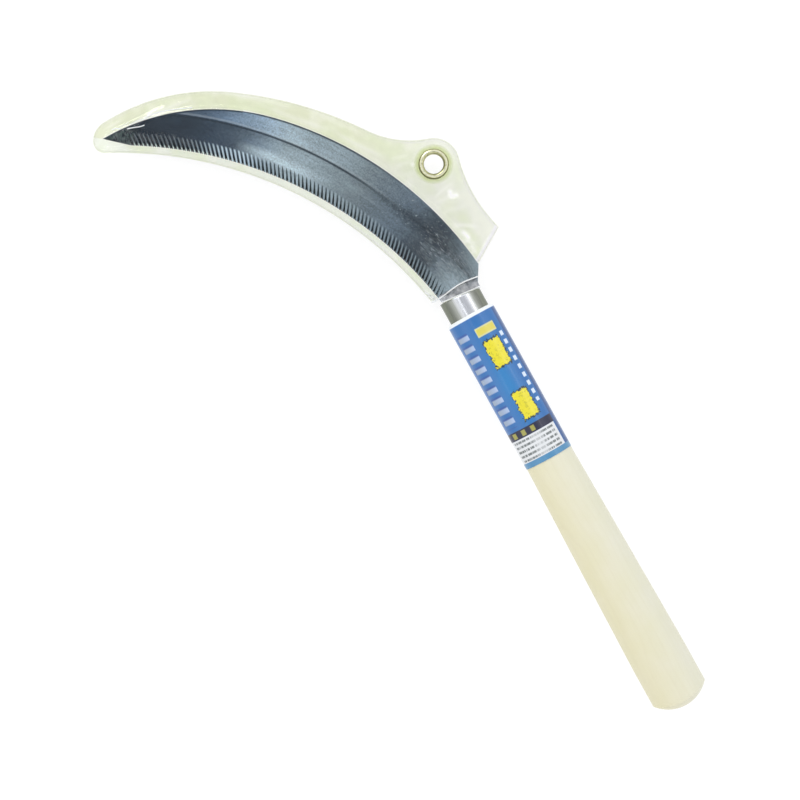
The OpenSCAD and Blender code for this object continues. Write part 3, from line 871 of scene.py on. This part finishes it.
def clear_film():
    """Clear vinyl: nearly colourless over the blade, yellow-green where it lies on itself."""
    made, web, sockets, place = new_material("soft clear film", Transmission_Weight=1.0, IOR=1.30)

    def mark(label):
        return web.value("Attribute", attribute_name=label, output="Fac")

    plan = web.group(PLAN, Place=place)
    cloud = web.noise(place, 0.10, 3, 0.6)
    tab = plan["Angle"].within(-20.0, 19.0, 9.0)
    tint = web.blend(tab, (0.868, 0.885, 0.765), (0.915, 0.925, 0.875))
    tint = web.blend(plan["Past edge"].within(-20.0, -0.2, 0.6), tint, (0.91, 0.93, 0.88))
    tint = web.blend(cloud.fade(0.42, 0.68) * 0.5, tint, (0.95, 0.955, 0.90))
    greener = web.noise(place, 0.055, 2, 0.5).fade(0.50, 0.66)
    tint = web.blend(greener * 0.5, tint, (0.86, 0.90, 0.74))
    # a greener ring round the eyelet, a whiter hem beside the mouth, the weld, and a painted
    # highlight that whitens the film along its folds
    ring = web.group(POLAR, Place=place, Centre_X=eye[0], Centre_Y=eye[1])["Radius"]
    tint = web.blend(ring.within(6.0, 8.5, 1.8) * (cloud + 0.1), tint, (0.70, 0.76, 0.44))
    tint = web.blend(mark("hem").within(0.5, 9.0, 0.5) * 0.8, tint, (0.945, 0.94, 0.955))
    seam = web.blend(tab, (0.86, 0.87, 0.80), (0.86, 0.85, 0.88))
    tint = web.blend(mark("weld") * 0.35, tint, seam)
    tint = web.blend(mark("rim") * 0.8, tint, (0.975, 0.98, 0.955))
    # a painted highlight whitens the film along its folds
    tint = web.blend(mark("fold") * 0.9, tint, (0.995, 0.995, 0.99))
    over_blade = (plan["Past edge"].within(-0.2, FAR, 0.6)
                  * plan["Inside back"].within(-0.2, FAR, 0.6))
    tint = web.blend(over_blade, tint, (0.985, 0.987, 0.975))
    haze = web.noise(place, 0.5, 3, 0.6)
    ripple = web.noise(place, 0.28, 3, 0.55)
    finish_material(web, sockets, tint, 0.03 + haze * 0.06, ripple, 0.35, 0.25)
    return made


def vinyl(name, dark, light, roughness, fineness=1.1, **values):
    """Vinyl that is thicker or hazier than the sheath's plain film."""
    made, web, sockets, place = new_material(name, **values)
    mottle = web.noise(place, fineness, 3, 0.6)
    base = web.ramp(mottle, [(0.3, dark), (0.7, light)])
    finish_material(web, sockets, base, roughness + mottle * 0.2, mottle, 0.3, 0.08)
    return made


def eyelet_brass():
    made, web, sockets, place = new_material("dull plated brass", Metallic=1.0)
    ring = web.group(POLAR, Place=place, Centre_X=eye[0], Centre_Y=eye[1])
    tarnish = web.noise(place, 0.9, 4, 0.65)
    base = web.ramp(tarnish, [(0.3, (0.44, 0.44, 0.20)), (0.7, (0.74, 0.73, 0.46))])
    # painted shade where the curl turns down to the hole, heavier on one side, and where it turns
    # down to the film; a painted highlight on its crest
    painted_shade_side = web.math("COSINE", web.math("RADIANS", ring["Bearing"] - 215.0))
    painted_hole_shade = (ring["Radius"].within(0.0, 5.25, 0.5) * (painted_shade_side * 0.35 + 0.5)).clamped()
    # painted shade at the ring's outer edge
    outer = ring["Radius"].within(6.55, 9.0, 0.5) * 0.75
    base = web.blend(web.math("MAXIMUM", painted_hole_shade, outer), base, (0.095, 0.10, 0.022))
    # a painted highlight on the crest
    base = web.blend(ring["Radius"].within(5.6, 6.2, 0.5) * 0.7, base, (0.95, 0.94, 0.80))
    finish_material(web, sockets, base, 0.18 + tarnish * 0.22, tarnish, 0.15, 0.05)
    return made


# Pieces that follow a path


def bead_tree():
    """A bead swept along a line of edges, as wide and as high as asked."""
    tree = bpy.data.node_groups.new("bead along a path", "GeometryNodeTree")
    add_socket = tree.interface.new_socket
    add_socket("Path", in_out="INPUT", socket_type="NodeSocketGeometry")
    for label, value in (("Bead radius", 0.3 * MM), ("Flatten", 1.0)):
        add_socket(label, in_out="INPUT", socket_type="NodeSocketFloat").default_value = value
    add_socket("Finish", in_out="INPUT", socket_type="NodeSocketMaterial")
    add_socket("Bead", in_out="OUTPUT", socket_type="NodeSocketGeometry")
    nodes, link = tree.nodes, tree.links.new
    given, result = nodes.new("NodeGroupInput").outputs, nodes.new("NodeGroupOutput").inputs
    curve, upright, circle, squeeze, sweep, smooth, finish, real = (
        nodes.new("GeometryNode" + kind) for kind in (
            "MeshToCurve", "SetCurveNormal", "CurvePrimitiveCircle", "Transform", "CurveToMesh",
            "SetShadeSmooth", "SetMaterial", "RealizeInstances"))
    upright.mode = "Z_UP"
    circle.inputs["Resolution"].default_value = 10
    scale = nodes.new("ShaderNodeCombineXYZ")
    scale.inputs[0].default_value = scale.inputs[2].default_value = 1.0
    sweep.inputs["Fill Caps"].default_value = True
    link(given["Path"], curve.inputs[0])
    link(curve.outputs[0], upright.inputs[0])
    link(given["Bead radius"], circle.inputs["Radius"])
    link(given["Flatten"], scale.inputs[1])
    link(scale.outputs[0], squeeze.inputs["Scale"])
    link(circle.outputs[0], squeeze.inputs[0])
    link(upright.outputs[0], sweep.inputs["Curve"])
    link(squeeze.outputs[0], sweep.inputs["Profile Curve"])
    link(sweep.outputs[0], smooth.inputs[0])
    link(smooth.outputs[0], real.inputs[0])
    link(real.outputs[0], finish.inputs[0])
    link(given["Finish"], finish.inputs["Material"])
    link(finish.outputs[0], result[0])
    return tree


BEAD = bead_tree()


def bead(name, line, radius, flatten, finish, closed=False):
    """A bead along points in millimetres, from end to end or round a loop."""
    mesh = bpy.data.meshes.new(name)
    n = len(line)
    edges = [(i, (i + 1) % n) for i in range(n if closed else n - 1)]
    mesh.from_pydata([tuple(np.array(p) * MM) for p in line], edges, [])
    path = add_object(name, mesh)
    maker = path.modifiers.new("bead", "NODES")
    maker.node_group = BEAD
    sockets = {s.name: s.identifier for s in BEAD.interface.items_tree if s.in_out == "INPUT"}
    maker[sockets["Bead radius"]] = radius * MM
    maker[sockets["Flatten"]] = flatten
    maker[sockets["Finish"]] = finish
    graph = bpy.context.evaluated_depsgraph_get()
    path_mesh = bpy.data.meshes.new_from_object(path.evaluated_get(graph))
    path.modifiers.clear()
    path.data = path_mesh
    bpy.data.meshes.remove(mesh)
    path.data.name = name
    return path


STEEL, SHEET, WOOD, PIN = blade_steel(), ferrule_steel(), handle_wood(), pin_steel()
SLEEVE, FILM, BRASS = printed_sleeve(), clear_film(), eyelet_brass()
SEAM = vinyl("fused seam", (0.86, 0.88, 0.80), (0.93, 0.94, 0.89), 0.05, IOR=1.1,
             Transmission_Weight=1.0)
# pale beads for the film's edges and sharp folds: a painted highlight along them
FILM_EDGE_HIGHLIGHT = vinyl("painted film edge highlight", (0.84, 0.88, 0.90), (0.95, 0.97, 0.98), 0.2, IOR=1.4,
                 Transmission_Weight=0.15)
HAZY = vinyl("hazy film", (0.14, 0.17, 0.20), (0.95, 0.96, 1.0), 0.1, fineness=0.27, IOR=1.4,
             Transmission_Weight=0.5)

for node, finish in (("blade", STEEL), ("ferrule", SHEET), ("handle", WOOD), ("tang_pin", PIN),
                     ("label", SLEEVE), ("eyelet", BRASS), ("eyelet_washer", BRASS)):
    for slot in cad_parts[node].material_slots:
        slot.material = finish

for name, side, node in (("sheath_film_upper", UPPER, "sheath_front"),
                         ("sheath_film_lower", LOWER, "sheath_back")):
    film = film_shell(name, side, FILM)
    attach(film, "sheath")
    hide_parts(node)


def weld_path(inset):
    """The sheath's outline moved inwards, without its open mouth."""
    rim = film_outline(1.0)
    run = np.roll(rim, -1, axis=0) - np.roll(rim, 1, axis=0)
    run /= np.hypot(run[:, 0], run[:, 1])[:, None]
    mouth_starts = int(np.argmin(np.hypot(*(rim - shoulder).T)))
    moved = rim + inset * np.column_stack([run[:, 1], -run[:, 0]])
    return [(x, y, LIFT) for x, y in moved[1:mouth_starts]]


weld_bead = bead("sheath_weld_bead", weld_path(0.55), 0.25, 0.8, SEAM)
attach(weld_bead, "sheath")


def on_film(plan, side, sink=0.1):
    """Places in plan carried to the outer face of one film, sunk into it a little."""
    z = film_height(plan, distance_to_loop(plan, film_outline(RIM_STEP)), side) - sink
    return [(x, y, LIFT + side * h) for (x, y), h in zip(plan, z)]


def soft_line(corners, step=0.4):
    """A smooth line through a few places in plan."""
    line = np.array(corners, float)
    for _ in range(3):
        a, b = line[:-1], line[1:]
        cut = np.column_stack([0.75 * a + 0.25 * b, 0.25 * a + 0.75 * b]).reshape(-1, 2)
        line = np.vstack([line[:1], cut, line[-1:]])
    run = np.concatenate([[0], np.cumsum(np.hypot(*np.diff(line, axis=0).T))])
    at = np.linspace(0, run[-1], max(int(run[-1] / step), 4))
    return np.column_stack([np.interp(at, run, line[:, i]) for i in (0, 1)])


# the mouth's edges and the sharp folds are beads in the pale edge material: a painted highlight
# along them
# name, which film, radius, and places in plan
MOUTH_LINES = [
    ("sheath_mouth_upper", UPPER, 0.34, [mouth_first + [0.1, 0], [36.0, -33.5], [37.4, -41.5],
                                         [37.4, -46.5], mouth_back + [0.3, 0]]),
    ("sheath_mouth_lower", LOWER, 0.30, [mouth_first + [0.1, 0], mouth_back + [0.1, 0]]),
]
# name, radius, and places on the upper film as along_blade takes them
SHARP_FOLDS = [
    ("sheath_tip_fold_1", 0.28, [(53.3, 6.8), (52.7, 7.6), (52.1, 7.2)]),
    ("sheath_tip_fold_2", 0.25, [(51.2, 7.2), (50.4, 7.9), (49.6, 8.3), (48.9, 9.3)]),
    ("sheath_tip_fold_5", 0.14, [(52.2, 8.2), (51.5, 9.3), (51.0, 10.6)]),
    ("sheath_tip_fold_3", 0.16, [(51.0, 8.9), (50.0, 11.1), (49.0, 11.9)]),
    ("sheath_tip_fold_4", 0.26, [(49.0, 12.2), (47.9, 14.9), (46.2, 16.9), (44.6, 18.4),
                                 (43.0, 19.8)]),
    ("sheath_corner_fold", 0.20, [(3.0, -3.2), (2.2, -2.2), (1.5, -1.4), (0.9, -0.4)]),
    ("sheath_corner_fold_2", 0.16, [(2.3, -3.4), (1.9, -2.5), (1.3, -2.9)]),
    ("sheath_corner_fold_3", 0.14, [(1.9, -1.0), (1.4, -2.0), (0.8, -2.2)]),
]
FILM_LINES = MOUTH_LINES + [(name, UPPER, radius, [along_blade(*place) for place in places])
                            for name, radius, places in SHARP_FOLDS]
for name, side, radius, corners in FILM_LINES:
    line = bead(name, on_film(soft_line(corners), side), radius, 0.9, FILM_EDGE_HIGHLIGHT)
    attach(line, "sheath")


def mouth_lip():
    """The upper film's loose lip over the shank, from the mouth's fold to the ferrule."""
    across, along = 38, 10
    start, width, near, far, rise = -10.4, 19.0, 0.92, 5.2, 1.42
    bm = bmesh.new()
    rows = []
    for i in range(across + 1):
        y = AXIS_Y + start + width * i / across
        xs = np.linspace(MOUTH_X + near + (y - AXIS_Y) * SLANT, MOUTH_X + far, along + 1)
        z = LIFT + rise + 0.07 * waves(np.column_stack([xs, np.full_like(xs, y)]), 31, 6, 3, 9)
        rows.append([bm.verts.new((x * MM, y * MM, h * MM)) for x, h in zip(xs, z)])
    for a, b in zip(rows, rows[1:]):
        for j in range(along):
            bm.faces.new((a[j], a[j + 1], b[j + 1], b[j]))
    for side in bm.edges:
        side.smooth = not side.is_boundary
    edge = [tuple(np.array(row[0].co) / MM) for row in rows]
    mesh = bpy.data.meshes.new("sheath_mouth_lip")
    bm.to_mesh(mesh)
    bm.free()
    return add_film("sheath_mouth_lip", mesh, LIP_T, HAZY), edge


lip, lip_edge = mouth_lip()
# the lip's edge as a pale bead: a painted highlight
lip_bead = bead("sheath_lip_edge", [(x, y, z - 0.12) for x, y, z in lip_edge], 0.42, 0.8, FILM_EDGE_HIGHLIGHT)
for piece in (lip, lip_bead):
    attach(piece, "sheath")


def ferrule_rim():
    """The rolled rim along the ferrule's slanted mouth: four arcs, as the grip's section."""
    side_off = GRIP_W / 2 - GRIP_SIDE_R
    flat_part = GRIP_H / 2 - GRIP_SIDE_R + HAIR
    wide_off = (side_off ** 2 - flat_part ** 2) / (2 * flat_part)
    grown = (FERRULE_W - GRIP_W) / 2 - 0.3
    side_r, wide_r = GRIP_SIDE_R + grown, GRIP_H / 2 + wide_off + grown
    join = math.degrees(math.atan2(side_off, wide_off))
    loop = []
    for side, turn in ((1, 0), (-1, 180)):
        loop += [np.array([side * side_off, 0]) + side_r * toward(a + turn)
                 for a in np.linspace(join - 90, 90 - join, 25)[:-1]]
        loop += [np.array([0, -side * wide_off]) + wide_r * toward(a + turn)
                 for a in np.linspace(90 - join, 90 + join, 25)[:-1]]
    return [(MOUTH_X + y * SLANT - 0.05, AXIS_Y + y, LIFT + z) for y, z in loop]


rim_bead = bead("ferrule_rim_bead", ferrule_rim(), 0.42, 1.0, SHEET, closed=True)
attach(rim_bead, "sickle")


# Stage, light and camera


def floor():
    mesh = bpy.data.meshes.new("floor")
    half = 3.0
    mesh.from_pydata([(-half, -half, 0), (half, -half, 0), (half, half, 0), (-half, half, 0)], [],
                     [(0, 1, 2, 3)])
    obj = add_object("floor", mesh)
    made, web, sockets, place = new_material("pale paper floor", Roughness=0.9,
                                             Emission_Strength=0.80)
    sockets["Emission Color"].default_value = (1, 1, 1, 1)
    web.feed(sockets["Base Color"], web.ramp(web.noise(place, 0.4, 2), [
        (0.3, (0.24, 0.24, 0.24)), (0.7, (0.28, 0.28, 0.28))]))
    mesh.materials.append(made)


def stand(obj, right, up, back, place):
    """Puts a light or a camera at a place, by where its right, its top and its back point."""
    obj.matrix_world = Matrix([[right[i], up[i], back[i], place[i]] for i in range(3)]
                              + [[0, 0, 0, 1]])


def softbox(name, direction, distance, size, power):
    """A rectangular light that faces the sickle from a direction."""
    light = bpy.data.lights.new(name, "AREA")
    light.shape, light.size, light.size_y = "RECTANGLE", *size
    light.energy = power
    away = Vector(direction).normalized()
    up = away.cross(Vector((1, 0, 0))).normalized()
    stand(add_object(name, light), up.cross(away).normalized(), up, away, away * distance)


def sky():
    world = bpy.data.worlds.new("studio")
    bpy.context.scene.world = world
    world.use_nodes = True
    world.node_tree.nodes.clear()
    web = Web(world.node_tree)
    height = web.split(web.value("TexCoord", output="Generated"))[2]
    shade = web.ramp(height, [(0.0, (0.80, 0.80, 0.80)), (0.30, (0.85, 0.85, 0.85)),
                              (0.60, (1.30, 1.30, 1.30)), (0.82, (1.15, 1.15, 1.17)),
                              (0.95, (0.58, 0.59, 0.62)), (1.0, (0.50, 0.51, 0.53))])
    web.add("OutputWorld", web.value("Background", shade, 1.0))


def camera():
    """Looks straight down, turned as the photograph is."""
    data = bpy.data.cameras.new("camera")
    obj = add_object("camera", data)
    distance, half_view = 0.80, 0.184
    data.sensor_width, data.sensor_height = 36, 36
    data.lens = data.sensor_width / 2 * distance / half_view
    right_x, right_y = -0.48402, -0.87506
    aim_x, aim_y = 0.004107, 0.005889
    stand(obj, (right_x, right_y, 0), (-right_y, right_x, 0), (0, 0, 1),
          (aim_x, aim_y, LIFT * MM + distance))
    bpy.context.scene.camera = obj


floor()
sky()
softbox("strip, toothed side", (0, 0.20, 0.98), 1.0, (1.4, 0.11), 0.50)
softbox("strip, back side", (0, -0.62, 0.785), 1.0, (1.4, 0.09), 0.55)
softbox("window", (0.80, -0.03, 0.60), 1.2, (0.35, 0.35), 3.0)
camera()
bpy.context.scene.view_settings.view_transform = "Standard"
